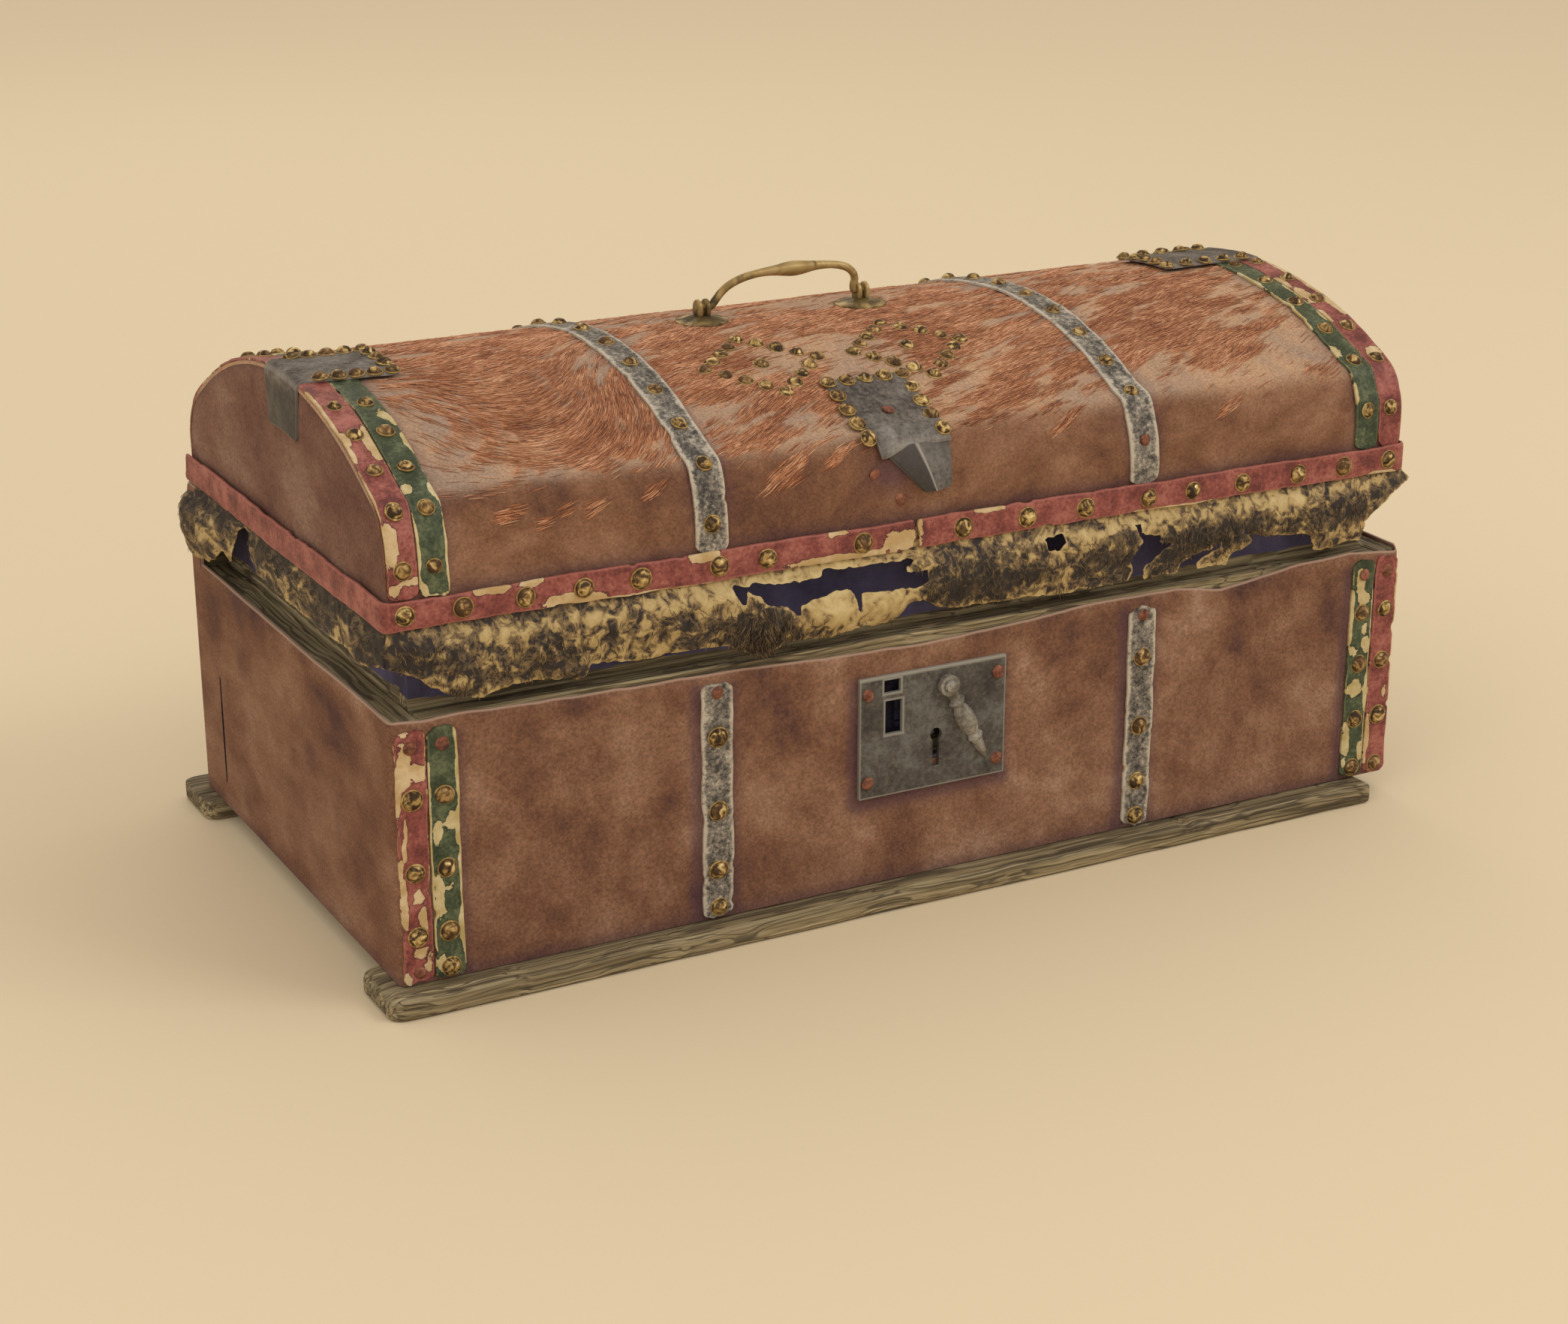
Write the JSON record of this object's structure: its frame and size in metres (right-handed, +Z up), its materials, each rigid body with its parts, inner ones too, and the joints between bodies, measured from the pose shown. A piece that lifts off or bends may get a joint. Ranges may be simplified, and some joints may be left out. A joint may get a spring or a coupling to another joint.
{
  "type": "hide-covered trunk",
  "caption": "Trunk of boards covered in hide, with a hinged rounded lid, hanging hide flaps, leather bands, tacks, lock plate, hasp plate and a brass bail handle.",
  "frame": {"origin": "on the floor under the middle of the trunk, at the height of the runners' undersides", "axes": "+X along the trunk towards its right end, +Y from the front to the hinged back, +Z up"},
  "size_m": [0.5115, 0.2788, 0.2583],
  "materials": {
    "bare_wood": "weathered, bare",
    "blue_lip": "dark blue paint, matt",
    "body_hide": "worn suede, mottled",
    "lid_hide": "short hair worn to the skin",
    "red_leather": "worn dyed leather",
    "green_leather": "worn dyed leather",
    "grey_strap": "grey, mottled",
    "raw_hide": "dried raw hide with black hair",
    "iron": "forged sheet, dull",
    "brass_tacks": "tarnished",
    "brass_handle": "polished by use",
    "rusted_nails": "rust"
  },
  "bodies": {
    "trunk": {"bottom_board": "bare_wood", "front_board": "bare_wood", "back_board": "bare_wood", "left_end_board": "bare_wood", "right_end_board": "bare_wood", "front_runner": "bare_wood", "rear_runner": "bare_wood", "front_lip": "blue_lip", "left_lip": "blue_lip", "right_lip": "blue_lip", "front_body_hide": "body_hide", "back_body_hide": "body_hide", "left_body_hide": "body_hide", "right_body_hide": "body_hide", "left_red_corner_band": "red_leather", "right_red_corner_band": "red_leather", "left_green_corner_band": "green_leather", "right_green_corner_band": "green_leather", "left_body_strap": "grey_strap", "right_body_strap": "grey_strap", "lock_plate": "iron", "lock_case": "iron", "cover_rivet": "iron", "body_tacks": "brass_tacks", "body_nails": "rusted_nails", "hinge_body_leaves": "iron", "hinge_pins": "iron"},
    "lid": {"lid_left_end": "bare_wood", "lid_right_end": "bare_wood", "lid_front_rail": "bare_wood", "lid_back_rail": "bare_wood", "lid_stave_1": "bare_wood", "lid_stave_2": "bare_wood", "lid_stave_3": "bare_wood", "lid_stave_4": "bare_wood", "lid_stave_5": "bare_wood", "lid_stave_6": "bare_wood", "lid_hide": "lid_hide", "left_lid_end_hide": "body_hide", "right_lid_end_hide": "body_hide", "front_flap": "raw_hide", "left_flap": "raw_hide", "right_flap": "raw_hide", "lid_edge_band": "red_leather", "left_red_lid_band": "red_leather", "right_red_lid_band": "red_leather", "left_green_lid_band": "green_leather", "right_green_lid_band": "green_leather", "left_lid_strap": "grey_strap", "right_lid_strap": "grey_strap", "left_crown_iron": "iron", "right_crown_iron": "iron", "hasp_plate": "iron", "handle_posts": "brass_handle", "hinge_lid_leaves": "iron", "lid_tacks": "brass_tacks", "lid_nails": "rusted_nails"},
    "bail": {"handle_bail": "brass_handle"},
    "keyhole_cover": {"keyhole_cover": "iron"},
    "lock_bolt": {"lock_bolt": "iron"}
  },
  "joints": [
    {"name": "lid_hinge", "type": "hinge", "parent": "trunk", "child": "lid", "pos_m": [0, 0.1305, 0.15755], "axis": [-1, 0, 0], "range_deg": [0, 105]},
    {"name": "handle_swing", "type": "hinge", "parent": "lid", "child": "bail", "pos_m": [-0.01, -0.006, 0.242], "axis": [1, 0, 0], "range_deg": [-100, 100]},
    {"name": "cover_swing", "type": "hinge", "parent": "trunk", "child": "keyhole_cover", "pos_m": [0.0019, -0.1298, 0.0959], "axis": [0, 1, 0], "range_deg": [0, 112]},
    {"name": "bolt_slide", "type": "slide", "parent": "trunk", "child": "lock_bolt", "axis": [-1, 0, 0], "range_m": [0, 0.009]}
  ]
}
